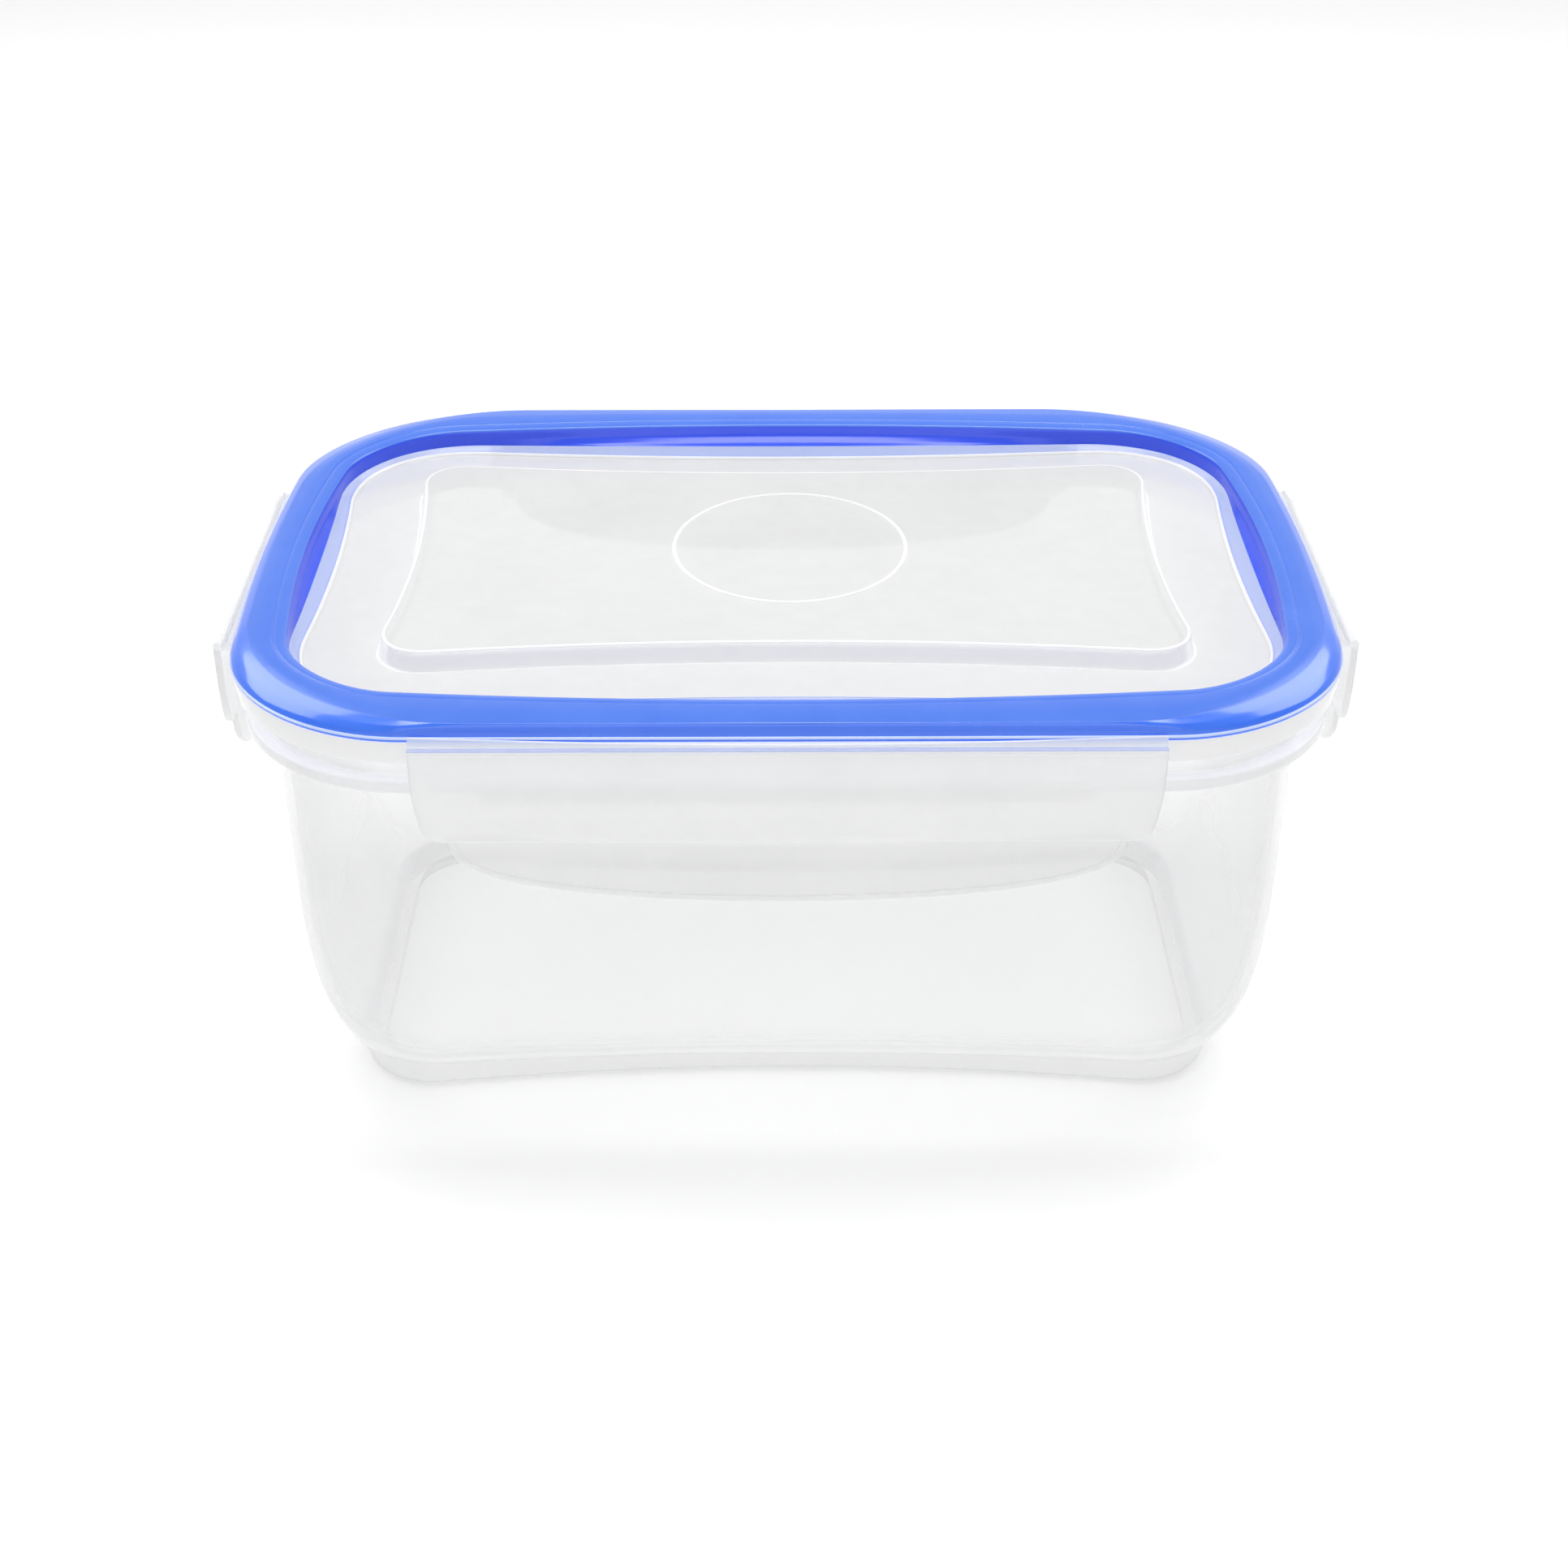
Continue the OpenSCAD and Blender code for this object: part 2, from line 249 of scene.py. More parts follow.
# ------------------------------------------------------------------ lid
def make_lid():
    t = PANEL_T
    top, ring, ledge, tray = outline(O_TOP), outline(O_RING), outline(O_LEDGE), outline(O_TRAY)
    L = [
        (at(outline(O_PLAT, -6.0), HZ + PLAT_H - t), 0),
        (at(outline(O_PLAT, -1.5), HZ + PLAT_H - t), 0.9),
        (at(outline(O_PLAT, -0.6), HZ + TRAY_H - t), 0.7),
        (at(outline(O_PLAT, 3.0), HZ + TRAY_H - t), 0),
        (at(outline(O_TRAY, -0.4), HZ + TRAY_H - t), 0.8),
        (at(mix(tray, ledge, 0.8), HZ - 0.9), 0.5),
        (at(outline(O_TOP, 0.2), HZ - 1.6), 0.6, 6),
        (at(outline(O_TOP, 0.0), HZ - 5.0), 0.5, 6),
        (at(outline(O_TOP, 1.2), HZ - 5.0), 0.5, 6),
        (at(outline(O_TOP, 1.6), HZ - 3.2), 0.8, 6),
        (at(outline(O_TOP, 2.2), HZ + 2.5), 0.5, 6),
        (at(outline(O_RING, -3.1), HZ + 2.5), 0.6, 6),
        (at(outline(O_RING, -2.2), HZ + 0.9), 0.6, 6),
        (at(outline(O_RING, -1.7), HZ - 4.1), 0.4, 6),
        (at(outline(O_RING, -0.5), HZ - 4.1), 0.45, 5),
        (at(outline(O_RING, -0.15), HZ - 1.0), 0, 5),
        (at(outline(O_RING), HZ + 0.98), 0.2, 5),
        (at(outline(O_RING, -1.4), HZ + 0.98), 0.2),
        (at(outline(O_RING, -1.8), HZ + 3.7), 0.7),
        (at(outline(O_TOP, 1.4), HZ + 3.7), 0.6),
        (at(outline(O_TOP, 1.0), HZ + 1.0), 0.2),
        # slot 1: the clear ledge band inside the blue band, tinted bluish
        (at(mix(outline(O_LEDGE, 0.1), ledge, 0.5), HZ + 1.0), 0.4, 1),
        (at(mix(tray, ledge, 0.3), HZ + 0.05), 0.3, 1),
        (at(mix(tray, ledge, 0.16), HZ + 0.35), 0.3, 1),
        # slot 2: the tray-edge bead's inner slope, which carries the painted edge highlight
        (at(tray, HZ + 0.35), 0.3, 2),
        (at(outline(O_TRAY, -0.7), HZ + TRAY_H), 0.5),
        (at(outline(O_TRAY, -5.0), HZ + TRAY_H), 0),
        # slot 3: the raised middle's front face, with painted light
        (at(outline(O_PLAT, 1.0), HZ + TRAY_H), 0.7, 3),
        # slot 2: the raised middle's top edge, which carries the painted edge highlight
        (at(outline(O_PLAT, 0.1), HZ + PLAT_H), 0.38, 2),
        (at(outline(O_PLAT, -0.7), HZ + PLAT_H), 0),
        (at(outline(O_PLAT, -3.0), HZ + PLAT_H), 0),
    ]
    return skin("lid_shell", softened(L), smooth_deg=36)


def make_band():
    inner, outer, shoulder = outline(O_TOP), outline(O_RING), outline(O_SHOULDER)
    foot = outline(O_LEDGE, 0.15)
    top_in = outline(O_TOP, -0.3)
    L = [
        (at(outline(O_RING, -1.33), HZ + 1.05), 0.1),
        # slot 2, here and from the groove up to the shoulder: the outer slope, painted darker as shade
        (at(outline(O_RING, 0.05), HZ + 1.05), 0.35, 2),
        # slot 3: the bead top and groove, painted pale as a highlight hairline
        (at(outline(O_RING, 0.08), HZ + 1.9), 0.2, 3),
        (at(outline(O_RING, -0.42), HZ + 2.12), 0.12, 3),
        (at(outline(O_RING, -0.02), HZ + 2.28), 0.25, 2),
        (at(mix(outer, shoulder, 0.12), HZ + 3.15), 0.6, 2),
        (at(mix(outer, shoulder, 0.45), HZ + 4.2), 1.0, 2),
        (at(shoulder, HZ + 4.95), 0.5),
        (at(mix(shoulder, outline(O_TOP, 2.6), 0.45), HZ + 5.28), 1.2),
        (at(outline(O_TOP, 2.7), HZ + 5.24), 0.3),
        (at(outline(O_TOP, 2.35), HZ + 4.98), 0.2),
        (at(outline(O_TOP, 1.95), HZ + 5.16), 0.3),
        (at(outline(O_TOP, 0.9), HZ + 5.08), 0.5),
        (at(outline(O_TOP, 0.1), HZ + 4.85), 0.45),
        # slot 1: the inner wall, painted a deeper blue as shade
        (at(top_in, HZ + 4.2), 0.6, 1),
        (at(mix(foot, top_in, 0.75), HZ + 2.6), 0.5, 1),
        (at(mix(foot, top_in, 0.3), HZ + 1.5), 0.4, 1),
        (at(foot, HZ + 1.05), 0.15),
        (at(outline(O_TOP, 0.95), HZ + 1.05), 0.15),
        (at(outline(O_TOP, 1.35), HZ + 3.75), 0.6),
        (at(outline(O_RING, -1.75), HZ + 3.75), 0.7),
    ]
    return skin("edge_band", softened(L, closed=True, steps=3), closed=True, smooth_deg=50)


def make_gasket():
    L = [
        (at(outline(O_RIM, -RIM_T - 0.1), HZ + 0.85), 0.3),
        (at(outline(O_RIM, -RIM_T * 0.5 - 0.1), HZ + 0.62), 0.4),
        (at(outline(O_RIM, 0.3), HZ + 0.85), 0.3),
        (at(outline(O_RIM, 0.4), HZ + 2.44), 0.4),
        (at(outline(O_RIM, -RIM_T - 0.2), HZ + 2.44), 0.4),
    ]
    return skin("seal_ring", softened(L, closed=True, steps=3), closed=True, smooth_deg=50)


# ------------------------------------------------------------------ flat plates with rounded edges (latches, tabs, the oval)
def plate(name, pts, y0, y1, round_mm, seg=3):
    """A drawing in (x, z) thickened from y0 to y1, its edges rounded by shrinking the outline towards both faces."""
    pts = np.array(pts, float)
    n = len(pts)
    prev, nxt = np.roll(pts, 1, 0), np.roll(pts, -1, 0)
    d = nxt - prev
    nrm = np.column_stack([d[:, 1], -d[:, 0]])
    nrm /= np.maximum(np.linalg.norm(nrm, axis=1)[:, None], 1e-9)
    area = 0.5 * np.sum(pts[:, 0] * nxt[:, 1] - nxt[:, 0] * pts[:, 1])
    if area < 0:
        nrm = -nrm
    rings = []
    for i in range(seg + 1):
        t = math.pi / 2 * i / seg
        rings.append((y0 + round_mm * (1 - math.sin(t)), round_mm * (1 - math.cos(t))))
    rings = [(y, ins) for y, ins in rings][::-1]
    lower = [(y0 + round_mm - round_mm * math.sin(math.pi / 2 * (1 - i / seg)), round_mm * (1 - math.cos(math.pi / 2 * (1 - i / seg)))) for i in range(seg + 1)]
    upper = [(y1 - (y - y0), ins) for y, ins in lower][::-1]
    verts, faces = [], []
    levels = lower + upper
    for y, ins in levels:
        for p, m in zip(pts, nrm):
            q = p - m * ins
            verts.append((q[0], y, q[1]))
    k = len(levels)
    for i in range(k - 1):
        for j in range(n):
            m = (j + 1) % n
            faces.append((i * n + j, (i + 1) * n + j, (i + 1) * n + m, i * n + m))
    faces.append(tuple(range(n)))
    faces.append(tuple((k - 1) * n + j for j in range(n))[::-1])
    return new_object(name, verts, faces)


def bar(name, prof, x0, x1, end=0.0):
    """A profile in (y, z) run along x from x0 to x1, with slightly drawn-in ends."""
    prof = np.array(prof, float)
    c = prof.mean(0)
    stations = [(x0, 1 - end), (x0 + 0.8 * (end > 0) + 1e-3, 1.0)] if end else [(x0, 1.0)]
    stations += [(x1 - 0.8 * (end > 0) - 1e-3, 1.0), (x1, 1 - end)] if end else [(x1, 1.0)]
    verts, faces = [], []
    n = len(prof)
    for x, s in stations:
        for p in prof:
            q = c + (p - c) * s
            verts.append((x, q[0], q[1]))
    k = len(stations)
    for i in range(k - 1):
        for j in range(n):
            m = (j + 1) % n
            faces.append((i * n + j, (i + 1) * n + j, (i + 1) * n + m, i * n + m))
    faces.append(tuple(range(n))[::-1])
    faces.append(tuple((k - 1) * n + j for j in range(n)))
    return new_object(name, verts, faces)


def rounded(poly, radii, steps=5):
    """A 2D polygon with its corners rounded off."""
    out = []
    k = len(poly)
    for i in range(k):
        p, a, b = (np.array(poly[i], float), np.array(poly[i - 1], float), np.array(poly[(i + 1) % k], float))
        r = radii[i] if hasattr(radii, "__len__") else radii
        if r <= 0:
            out.append(tuple(p))
            continue
        s = p + (a - p) * min(0.48, r / max(np.linalg.norm(a - p), 1e-9))
        e = p + (b - p) * min(0.48, r / max(np.linalg.norm(b - p), 1e-9))
        for j in range(steps + 1):
            t = j / steps
            out.append(tuple(s * (1 - t) ** 2 + p * 2 * t * (1 - t) + e * t * t))
    return out


FLAP_H, TONGUE_H, BEAD = 20.3, 35.0, 0.9


def flap_outline(l):
    half = [(l, -0.2), (l, -8.6), (l - 0.5, -12.9), (l - 1.3, -16.7), (l - 2.1, -18.9), (l - 3.9, -FLAP_H)]
    pts = half + [(-x, z) for x, z in half[::-1]]
    r = [0.3, 3, 2, 2, 1.5, 2.4]
    return rounded(pts, r + r[::-1])


def tongue_outline(l, depth=TONGUE_H, m=46):
    pts = []
    for i in range(m + 1):
        a = math.pi * i / m
        q = math.cos(a)
        pts.append((l * q, -FLAP_H + 1 - (depth - FLAP_H + 1) * max(0.0, 1 - q * q) ** 0.35))
    return pts


def make_latch(name, l, place):
    flap = plate(name, flap_outline(l), -BEAD, 0.7, 0.35)
    bead_prof = [(BEAD * math.cos(2 * math.pi * i / 28), BEAD * math.sin(2 * math.pi * i / 28)) for i in range(28)]
    boolean(flap, bar(name + "_bead", bead_prof, -l, l))
    boolean(flap, plate(name + "_tongue", tongue_outline(l - 6.2), -0.1, 1.0, 0.5))
    rim = plate(name + "_rim", tongue_outline(l - 6.5, TONGUE_H - 0.2), -0.42, 0.25, 0.22)
    boolean(rim, plate(name + "_rim_inside", tongue_outline(l - 7.9, TONGUE_H - 1.35), -0.9, 0.6, 0.05), "DIFFERENCE")
    boolean(flap, rim)
    hook = rounded([(0, -16.0), (0, -11.5), (1.2, -12.25), (6.3, -12.25), (6.0, -13.8), (1.4, -14.8)], [0, 0, 0.4, 0.5, 0.6, 1.0], 4)
    boolean(flap, bar(name + "_hook", hook, -(l - 13), l - 13, 0.12))
    for f in flap.data.polygons:
        c = f.center / MM
        # slot 1: the hinge bead's top, where the front and back latches get a painted blue reflection of the band
        if c[2] > 0.5:
            f.material_index = 1
        elif c[1] > 0.75 and -16.5 < c[2] < -11.4:
            f.material_index = 2
        else:
            # slot 3: edge faces below the hinge, painted darker as a dark edge line
            f.material_index = 3 if c[2] < -1.2 and abs(f.normal[1]) < 0.85 else 0
    flap.data.transform(place)
    finish_mesh(flap, 34)
    return flap


def side(name):
    """Where a latch or tab drawn for the front goes: y inwards from the hinge line, z up from it."""
    deg, dist = {"front": (0, HY), "back": (180, HY), "left": (-90, HX), "right": (90, HX)}[name]
    return Matrix.Rotation(math.radians(deg), 4, "Z") @ Matrix.Translation((0, -dist * MM, HZ * MM))


def make_tab(name, l, reach, rise, slot):
    """The lid's lip that a latch hangs from. A thin wall on it rises along the band towards its ends."""
    st = 24
    verts, faces, slots = [], [], []
    for i in range(st + 1):
        x = -l + 2 * l * i / st
        up = rise * (x / l) ** 2
        prof = [(1.1, -0.75), (1.1, 0.62), (1.32, 0.86), (1.46, 0.92 + 0.9 * up), (1.62, 0.96 + up), (1.86, 0.96 + up),
                (2.0, 0.92 + 0.9 * up), (2.1, 0.9), (reach, 0.9), (reach, -0.75)]
        for y, z in prof:
            verts.append((x, y, z))
    n = 10
    for i in range(st):
        for j in range(n):
            m = (j + 1) % n
            faces.append((i * n + j, (i + 1) * n + j, (i + 1) * n + m, i * n + m))
            # the thin wall's top faces and the end faces take slot 2, the painted edge highlight
            slots.append(2 if j in (3, 4, 5) and slot else slot)
    faces.append(tuple(range(n))[::-1])
    faces.append(tuple(st * n + j for j in range(n)))
    slots += [2, 2]
    return new_object(name, verts, faces, slots=slots)


def make_oval():
    """A blank raised oval ring: a half-round bead that runs round an ellipse."""
    n, m = 160, 10
    verts, faces = [], []
    for i in range(n):
        a = 2 * math.pi * i / n
        c, s = math.cos(a), math.sin(a)
        nx, ny = c / 26.4, s / 28.0
        d = math.hypot(nx, ny)
        nx, ny = nx / d, ny / d
        for j in range(m):
            b = math.pi * j / (m - 1)
            off, up = -0.5 + 0.5 * math.cos(b), 0.36 * math.sin(b)
            verts.append((1 + 26.4 * c + nx * off, 2.5 + 28.0 * s + ny * off, PLAT_H - 0.02 + up - (0.35 if j in (0, m - 1) else 0)))
    for i in range(n):
        for j in range(m):
            a, b = (i + 1) % n, (j + 1) % m
            faces.append((i * m + j, a * m + j, a * m + b, i * m + b))
    # the whole bead takes slot 2, the painted edge highlight
    ob = new_object("oval", verts, faces, slots=[2] * len(faces))
    ob.data.transform(Matrix.Translation((0, 0, HZ * MM)))
    return ob


# ------------------------------------------------------------------ materials
def material(name):
    m = bpy.data.materials.new(name)
    m.use_nodes = True
    nt = m.node_tree
    p = nt.nodes["Principled BSDF"]
    return m, nt, p


def noise(nt, scale, detail=3.0, rough=0.5, coords=None):
    n = nt.nodes.new("ShaderNodeTexNoise")
    n.inputs["Scale"].default_value = scale
    n.inputs["Detail"].default_value = detail
    n.inputs["Roughness"].default_value = rough
    nt.links.new(coords, n.inputs["Vector"])
    return n.outputs["Fac"]


def ramp(nt, fac, lo, hi, c0, c1):
    r = nt.nodes.new("ShaderNodeValToRGB")
    r.color_ramp.elements[0].position, r.color_ramp.elements[1].position = lo, hi
    r.color_ramp.elements[0].color, r.color_ramp.elements[1].color = c0, c1
    nt.links.new(fac, r.inputs["Fac"])
    return r.outputs["Color"]


def span(nt, fac, lo, hi):
    r = nt.nodes.new("ShaderNodeMapRange")
    r.inputs["From Min"].default_value, r.inputs["From Max"].default_value = 0.3, 0.7
    r.inputs["To Min"].default_value, r.inputs["To Max"].default_value = lo, hi
    nt.links.new(fac, r.inputs["Value"])
    return r.outputs["Result"]


def clear_plastic(name, tint0, tint1, thin, edge, rough_lo, rough_hi, bump=0.02, ior=1.47, level=0.5, power=2.8, thick=None):
    """Thin moulded polypropylene: see-through face on, milkier at a slant, with faint flow marks and an uneven gloss."""
    m, nt, p = material(name)
    co = nt.nodes.new("ShaderNodeTexCoord").outputs["Object"]
    flow = noise(nt, 38.0, 4.0, 0.55, co)
    fine = noise(nt, 900.0, 2.0, 0.5, co)
    nt.links.new(ramp(nt, flow, 0.35, 0.65, (*tint0, 1), (*tint1, 1)), p.inputs["Base Color"])
    nt.links.new(span(nt, flow, rough_lo, rough_hi), p.inputs["Roughness"])
    b = nt.nodes.new("ShaderNodeBump")
    b.inputs["Strength"].default_value = bump
    b.inputs["Distance"].default_value = 0.0002
    nt.links.new(fine, b.inputs["Height"])
    nt.links.new(b.outputs["Normal"], p.inputs["Normal"])

    def maths(op, x, y):
        n = nt.nodes.new("ShaderNodeMath")
        n.operation = op
        nt.links.new(x, n.inputs[0])
        if isinstance(y, float):
            n.inputs[1].default_value = y
        else:
            nt.links.new(y, n.inputs[1])
        return n.outputs[0]

    lw = nt.nodes.new("ShaderNodeLayerWeight")
    lw.inputs["Blend"].default_value = 0.5
    slant = nt.nodes.new("ShaderNodeMapRange")
    slant.inputs["To Min"].default_value, slant.inputs["To Max"].default_value = thin, edge
    nt.links.new(maths("POWER", lw.outputs["Facing"], power), slant.inputs["Value"])
    out = maths("MULTIPLY", slant.outputs["Result"], span(nt, flow, 0.95, 1.05))
    if thick:
        # the moulding is thicker, and so milkier, towards its foot
        z0, z1, m0, m1 = thick
        xyz = nt.nodes.new("ShaderNodeSeparateXYZ")
        nt.links.new(co, xyz.inputs[0])
        zone = nt.nodes.new("ShaderNodeMapRange")
        zone.inputs["From Min"].default_value, zone.inputs["From Max"].default_value = z0, z1
        zone.inputs["To Min"].default_value, zone.inputs["To Max"].default_value = m0, m1
        nt.links.new(xyz.outputs["Z"], zone.inputs["Value"])
        out = maths("MULTIPLY", out, zone.outputs["Result"])
    out = maths("MINIMUM", out, 1.0)
    nt.links.new(out, p.inputs["Alpha"])
    p.inputs["IOR"].default_value = ior
    p.inputs["Specular IOR Level"].default_value = level
    return m


def blue_rubber(name, c0, c1, coat=0.2, coat_rough=0.12):
    """Soft elastomer: even colour with faint mottling, satin gloss."""
    m, nt, p = material(name)
    co = nt.nodes.new("ShaderNodeTexCoord").outputs["Object"]
    mott = noise(nt, 60.0, 4.0, 0.6, co)
    fine = noise(nt, 1400.0, 2.0, 0.5, co)
    nt.links.new(ramp(nt, mott, 0.35, 0.65, (*c0, 1), (*c1, 1)), p.inputs["Base Color"])
    nt.links.new(span(nt, mott, 0.2, 0.28), p.inputs["Roughness"])
    b = nt.nodes.new("ShaderNodeBump")
    b.inputs["Strength"].default_value = 0.05
    b.inputs["Distance"].default_value = 0.0002
    nt.links.new(fine, b.inputs["Height"])
    nt.links.new(b.outputs["Normal"], p.inputs["Normal"])
    p.inputs["Coat Weight"].default_value = coat
    p.inputs["Coat Roughness"].default_value = coat_rough
    p.inputs["Subsurface Weight"].default_value = 0.15
    p.inputs["Subsurface Radius"].default_value = (0.4, 0.6, 1.0)
    p.inputs["Subsurface Scale"].default_value = 0.002
    return m


def wear(obj, *mats):
    me = obj.data
    slots = np.zeros(len(me.polygons), dtype=np.int32)
    me.polygons.foreach_get("material_index", slots)
    me.materials.clear()
    for m in mats:
        me.materials.append(m)
    me.polygons.foreach_set("material_index", np.minimum(slots, len(mats) - 1))
    me.update()


# ------------------------------------------------------------------ build
mat_tub = clear_plastic("tub_clear_plastic", (0.84, 0.842, 0.845), (0.86, 0.862, 0.865), 0.15, 0.92, 0.12, 0.2, level=0.3,
                        power=4.2, thick=(0.006, 0.028, 2.1, 1.0))
mat_foot = clear_plastic("tub_foot_clear_plastic", (0.91, 0.912, 0.915), (0.93, 0.932, 0.935), 0.78, 0.96, 0.08, 0.14)
mat_lip = clear_plastic("tub_lip_clear_plastic", (0.90, 0.902, 0.905), (0.92, 0.922, 0.925), 0.7, 0.98, 0.08, 0.14)
mat_rim_wall = clear_plastic("tub_rim_clear_plastic", (0.90, 0.902, 0.905), (0.92, 0.922, 0.925), 0.4, 0.9, 0.08, 0.14)
mat_floor = clear_plastic("tub_floor_clear_plastic", (0.86, 0.862, 0.865), (0.88, 0.882, 0.885), 0.14, 0.6, 0.08, 0.14)
mat_lid = clear_plastic("lid_clear_plastic", (0.69, 0.692, 0.695), (0.71, 0.712, 0.715), 0.52, 0.9, 0.1, 0.16)
# painted light: a brighter, thinner copy of the lid plastic for the raised middle's front face, lifting it out of the
# shade its surroundings give it
mat_step_painted_light = clear_plastic("lid_step_painted_light_plastic", (0.97, 0.972, 0.975), (0.98, 0.982, 0.985), 0.25, 0.8, 0.1, 0.16)
mat_skirt = clear_plastic("lid_skirt_clear_plastic", (0.90, 0.902, 0.905), (0.915, 0.917, 0.92), 0.85, 0.98, 0.08, 0.14)
mat_inside = clear_plastic("lid_inside_clear_plastic", (0.86, 0.862, 0.865), (0.88, 0.882, 0.885), 0.1, 0.3, 0.1, 0.16)
# painted reflection: the front and back tabs are tinted blue for the blue band's reflection in their tops
mat_tab_painted_reflection = clear_plastic("lid_tab_painted_blue_reflection", (0.76, 0.82, 0.96), (0.78, 0.84, 0.97), 0.6, 0.9, 0.08, 0.12)
mat_latch = clear_plastic("latch_clear_plastic", (0.93, 0.932, 0.935), (0.95, 0.952, 0.955), 0.48, 0.97, 0.14, 0.2)
mat_hook = clear_plastic("latch_hook_clear_plastic", (0.94, 0.942, 0.945), (0.96, 0.962, 0.965), 0.03, 0.12, 0.14, 0.2)
# painted shade: a darker, denser copy of the latch plastic, which draws a dark line round the tongue's and flap's edges
mat_rim = clear_plastic("latch_rim_painted_dark_edge", (0.78, 0.782, 0.785), (0.80, 0.802, 0.805), 0.65, 0.9, 0.1, 0.16)
# painted reflection: the top of the front and back latches' hinge bead is tinted blue for the blue band's reflection
mat_hinge_painted_reflection = clear_plastic("latch_hinge_painted_blue_reflection", (0.34, 0.42, 0.80), (0.36, 0.44, 0.82), 0.5, 0.85, 0.1, 0.16)
# painted highlight: a pale blue on the band's lower bead top and groove draws a light hairline
mat_groove_painted_highlight = blue_rubber("edge_band_painted_groove_highlight", (0.58, 0.68, 0.95), (0.60, 0.70, 0.96), 0.3)
# painted highlight: a brighter, denser copy of the clear plastic, which draws white lines on rounded edges, the
# tray-edge bead, the oval and the tabs' thin walls and ends
mat_edge_painted_highlight = clear_plastic("clear_plastic_painted_edge_highlight", (0.96, 0.962, 0.965), (0.98, 0.982, 0.985), 0.6, 0.95, 0.08, 0.12)
# a bluish tint on the clear ledge band just inside the blue band
mat_tint = clear_plastic("lid_clear_bluish_ledge", (0.30, 0.40, 0.80), (0.32, 0.42, 0.82), 0.6, 0.88, 0.1, 0.16)
mat_seal = clear_plastic("seal_silicone", (0.88, 0.89, 0.93), (0.91, 0.92, 0.95), 0.16, 0.6, 0.3, 0.4, 0.1, 1.41)
mat_band = blue_rubber("edge_band_blue", (0.072, 0.200, 0.80), (0.082, 0.216, 0.82))
# painted shade: the band's inner wall is a deeper, more violet blue, standing in for the self-shadow the band does not
# cast
mat_band_painted_shade_inner = blue_rubber("edge_band_blue_painted_shade_inner", (0.030, 0.085, 0.84), (0.036, 0.095, 0.86), 0.1)
# painted shade: the band's outer slope is a darker, more saturated blue than its top, standing in for the light the top
# reflects and the slope does not; its strong coat is real gloss
mat_band_painted_shade_side = blue_rubber("edge_band_blue_painted_shade_side", (0.036, 0.180, 0.97), (0.042, 0.196, 0.99), 1.0, 0.09)

tub = make_tub()
wear(tub, mat_tub, mat_foot, mat_lip, mat_floor, mat_rim_wall)
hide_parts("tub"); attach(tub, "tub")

lid = make_lid()
for s, l, reach in (("front", 74.4, 3.3), ("back", 74.4, 3.3), ("left", 37.4, 4.0), ("right", 37.4, 4.0)):
    # front and back tabs take slot 4, the plastic tinted blue as a painted reflection of the band
    tab = make_tab("tab_" + s, l, reach, *((1.7, 4) if s in ("front", "back") else (0.4, 0)))
    tab.data.transform(side(s))
    boolean(lid, tab)
boolean(lid, make_oval())
finish_mesh(lid, 36)
wear(lid, mat_lid, mat_tint, mat_edge_painted_highlight, mat_step_painted_light, mat_tab_painted_reflection, mat_skirt, mat_inside)
lid.visible_shadow = False      # the real milky sheet passes light on into the tub
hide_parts("lid_panel"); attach(lid, "lid")

band = make_band()
wear(band, mat_band, mat_band_painted_shade_inner, mat_band_painted_shade_side, mat_groove_painted_highlight)
band.visible_shadow = False
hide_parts("rim_band"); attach(band, "lid")

seal = make_gasket()
wear(seal, mat_seal)
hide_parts("seal_gasket"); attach(seal, "lid")

for s, l in (("front", 74.4), ("back", 74.4), ("left", 37.4), ("right", 37.4)):
    ob = make_latch(s + "_latch_flap", l, side(s))
    # front and back latches carry the painted blue reflection on their hinge bead's top
    wear(ob, mat_latch, mat_hinge_painted_reflection if s in ("front", "back") else mat_latch, mat_hook, mat_rim)
    ob.visible_shadow = False
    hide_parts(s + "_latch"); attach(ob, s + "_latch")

# ------------------------------------------------------------------ floor, light, camera
floor_me = bpy.data.meshes.new("floor")
floor_me.from_pydata([(-6, -6, 0), (6, -6, 0), (6, 6, 0), (-6, 6, 0)], [], [(0, 1, 2, 3)])
floor = bpy.data.objects.new("floor", floor_me)
bpy.context.scene.collection.objects.link(floor)
fm, fnt, fp = material("floor_white")
fp.inputs["Base Color"].default_value = (0.92, 0.92, 0.92, 1)
fp.inputs["Emission Color"].default_value = (1, 1, 1, 1)
fp.inputs["Emission Strength"].default_value = 0.12
fp.inputs["Roughness"].default_value = 0.8
fp.inputs["Specular IOR Level"].default_value = 0.1
floor_me.materials.append(fm)


def area(name, loc, look, sx, sy, power, color=(1, 1, 1)):
    d = bpy.data.lights.new(name, "AREA")
    d.shape, d.size, d.size_y, d.energy, d.color = "RECTANGLE", sx, sy, power, color
    o = bpy.data.objects.new(name, d)
    bpy.context.scene.collection.objects.link(o)
    o.location = loc
    o.rotation_euler = (Vector(look) - Vector(loc)).to_track_quat("-Z", "Y").to_euler()
    return o


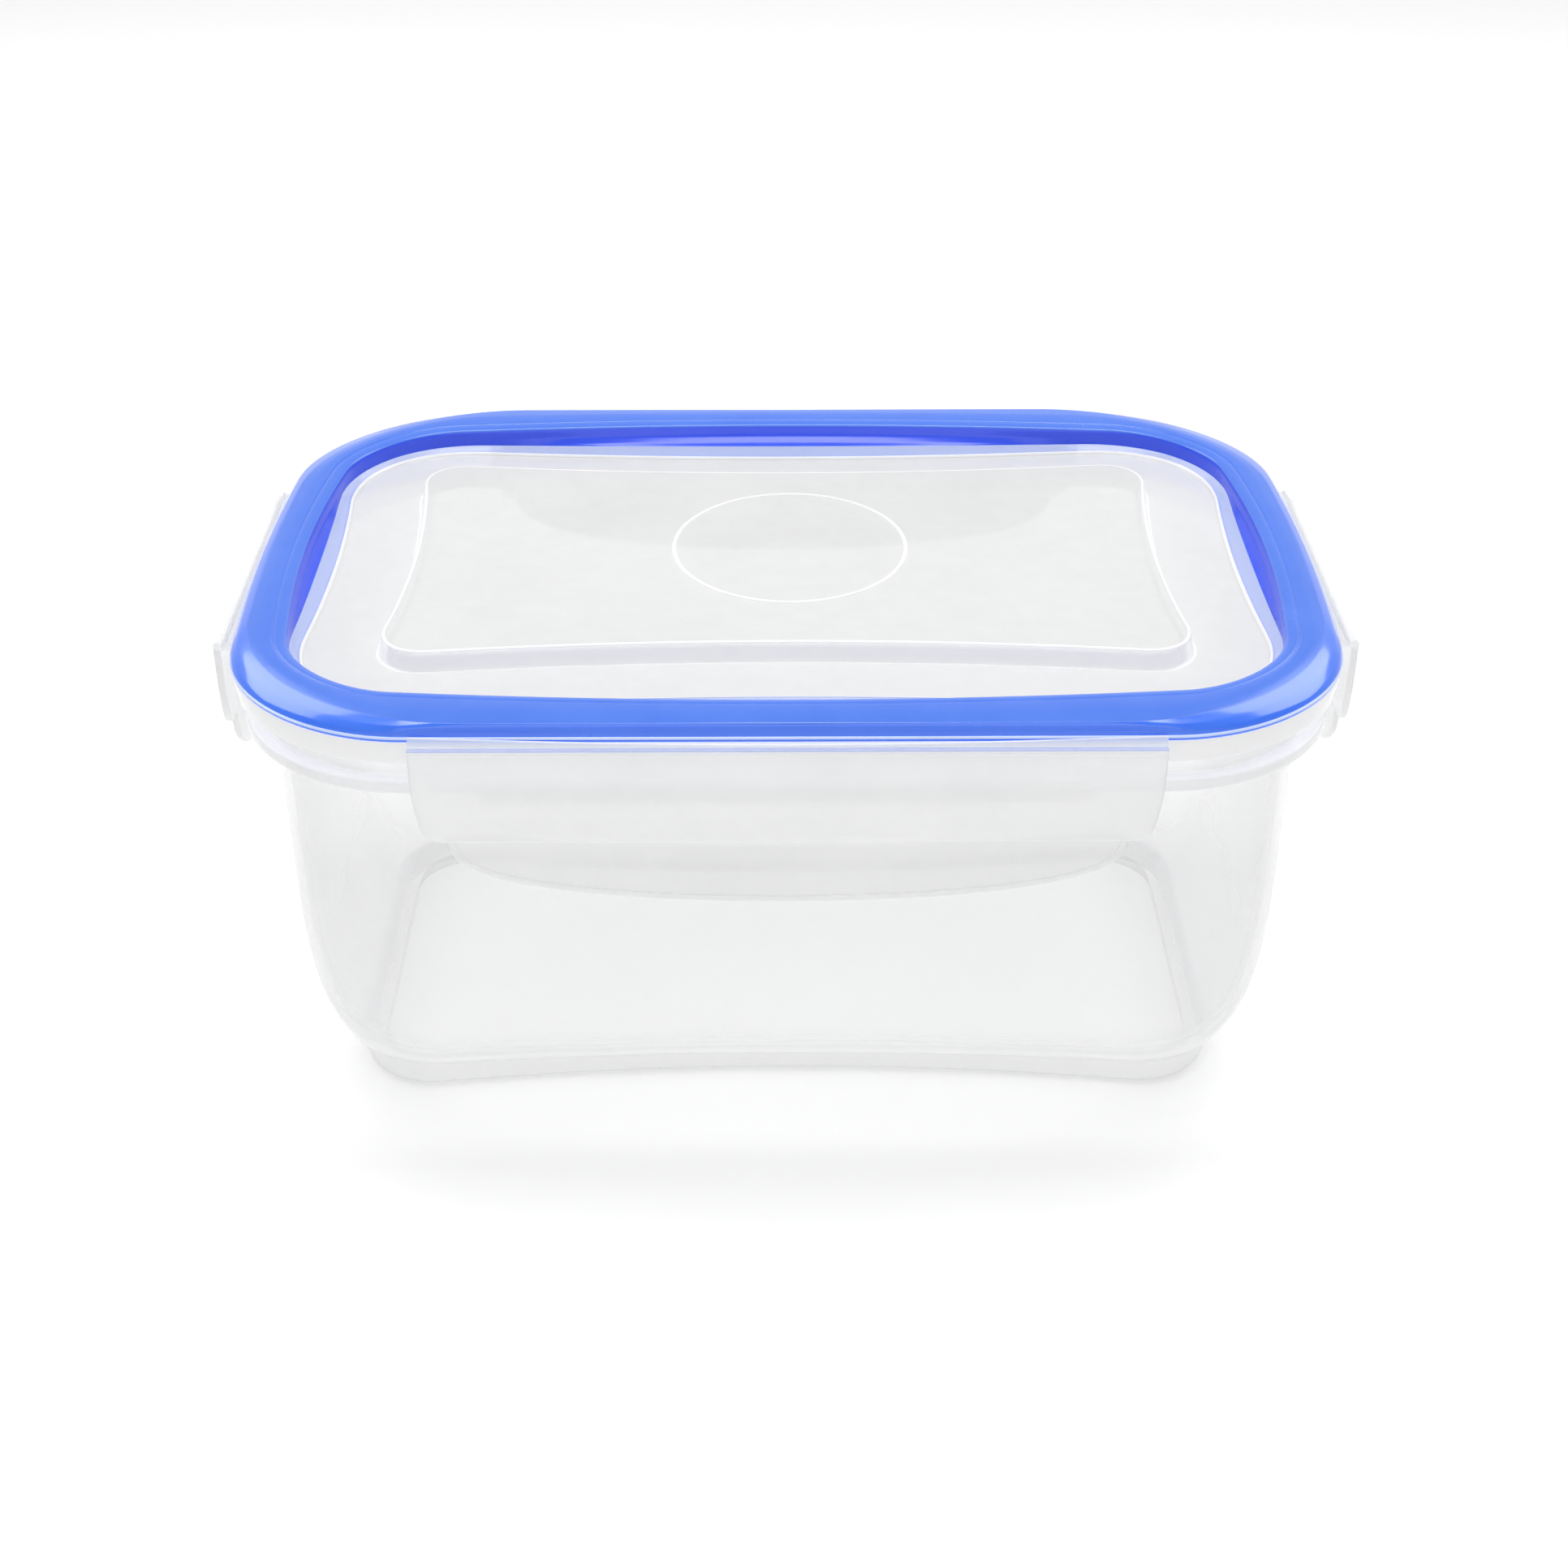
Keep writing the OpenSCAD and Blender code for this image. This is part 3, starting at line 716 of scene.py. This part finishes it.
area("softbox_top", (0, 0.15, 1.5), (0, 0.03, 0), 1.0, 0.5, 9.0)
area("softbox_left", (-0.78, 0.5, 0.9), (-0.05, 0, 0.1), 0.85, 0.55, 4.0)
area("softbox_right", (0.78, 0.5, 0.9), (0.05, 0, 0.1), 0.85, 0.55, 4.0)
area("softbox_front", (0, -1.3, 1.0), (0, 0, 0.08), 1.2, 0.8, 2.8)

w = bpy.data.worlds.new("studio")
bpy.context.scene.world = w
w.use_nodes = True
w.node_tree.nodes["Background"].inputs["Color"].default_value = (1, 1, 1, 1)
w_dir = w.node_tree.nodes.new("ShaderNodeTexCoord").outputs["Generated"]
w_xyz = w.node_tree.nodes.new("ShaderNodeSeparateXYZ")
w.node_tree.links.new(w_dir, w_xyz.inputs[0])
w_up = w.node_tree.nodes.new("ShaderNodeMapRange")
w_up.inputs["From Min"].default_value, w_up.inputs["From Max"].default_value = 0.0, 0.5
w_up.inputs["To Min"].default_value, w_up.inputs["To Max"].default_value = 1.05, 0.43
w.node_tree.links.new(w_xyz.outputs["Z"], w_up.inputs["Value"])
w_side = w.node_tree.nodes.new("ShaderNodeMath")      # dark flags at both sides, as for a photograph of clear ware
w_side.operation = "POWER"
w.node_tree.links.new(w_xyz.outputs["X"], w_side.inputs[0])
w_side.inputs[1].default_value = 2.0
w_flag = w.node_tree.nodes.new("ShaderNodeMapRange")
w_flag.inputs["To Min"].default_value, w_flag.inputs["To Max"].default_value = 1.0, 0.55
w.node_tree.links.new(w_side.outputs[0], w_flag.inputs["Value"])
w_all = w.node_tree.nodes.new("ShaderNodeMath")
w_all.operation = "MULTIPLY"
w.node_tree.links.new(w_up.outputs["Result"], w_all.inputs[0])
w.node_tree.links.new(w_flag.outputs["Result"], w_all.inputs[1])
w.node_tree.links.new(w_all.outputs[0], w.node_tree.nodes["Background"].inputs["Strength"])

cam_data = bpy.data.cameras.new("camera")
cam = bpy.data.objects.new("camera", cam_data)
bpy.context.scene.collection.objects.link(cam)
cam.location = (-0.0029, -0.4904, 0.3506)
cam.rotation_mode = "XYZ"
cam.rotation_euler = (math.radians(58.58), 0, math.radians(-0.30))
cam_data.sensor_width = 36.0
cam_data.lens = 3000 / 1932 * 36.0
cam_data.clip_start, cam_data.clip_end = 0.01, 50
bpy.context.scene.camera = cam
bpy.context.scene.view_settings.view_transform = "Standard"
